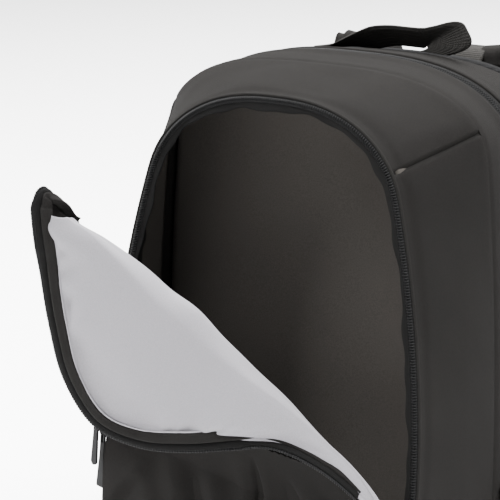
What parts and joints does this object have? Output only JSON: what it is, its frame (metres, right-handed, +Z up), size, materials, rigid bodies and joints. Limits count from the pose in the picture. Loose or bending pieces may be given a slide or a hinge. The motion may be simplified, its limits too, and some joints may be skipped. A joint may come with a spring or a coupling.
{
  "type": "laptop backpack",
  "caption": "Upright fabric backpack with a front compartment unzipped and its padded front panel folded over, haul loop, padded straps and side pockets.",
  "frame": {"origin": "middle of the flat base in the bag's width, under the middle of its depth", "axes": "+X to the right of someone who looks at the bag's front, +Y from the front to the back panel, +Z up"},
  "size_m": [0.37, 0.4221, 0.4683],
  "materials": {
    "shell_cloth": "matte heathered weave",
    "lining_cloth": "soft light grey lining",
    "dark_cloth": "matte black binding tape",
    "mesh_cloth": "matte black mesh",
    "webbing": "ribbed webbing",
    "zip_nylon": "satin",
    "black_plastic": "satin",
    "black_metal": "glossy black"
  },
  "bodies": {
    "root": {"front_base_panel": "shell_cloth", "front_side_panel_right": "shell_cloth", "front_top_panel": "shell_cloth", "front_side_panel_left": "shell_cloth", "main_gusset": "shell_cloth", "main_zip": "zip_nylon", "divider_panel": "lining_cloth", "back_panel": "mesh_cloth", "front_zip": "zip_nylon", "front_facing": "dark_cloth", "front_panel": "shell_cloth", "flap_lining": "lining_cloth", "flap_binding": "dark_cloth", "flap_zip": "zip_nylon", "front_slider_upper": "black_metal", "front_pull_upper": "black_metal", "front_slider_lower": "black_metal", "front_pull_lower": "black_metal", "main_slider": "black_metal", "main_pull": "black_metal", "haul_loop": "webbing", "shoulder_strap_right": "shell_cloth", "shoulder_strap_left": "shell_cloth", "strap_adjuster_right": "black_plastic", "strap_adjuster_left": "black_plastic", "lower_webbing_right": "webbing", "lower_webbing_left": "webbing", "side_pocket_right": "mesh_cloth", "side_pocket_left": "mesh_cloth"}
  },
  "joints": []
}
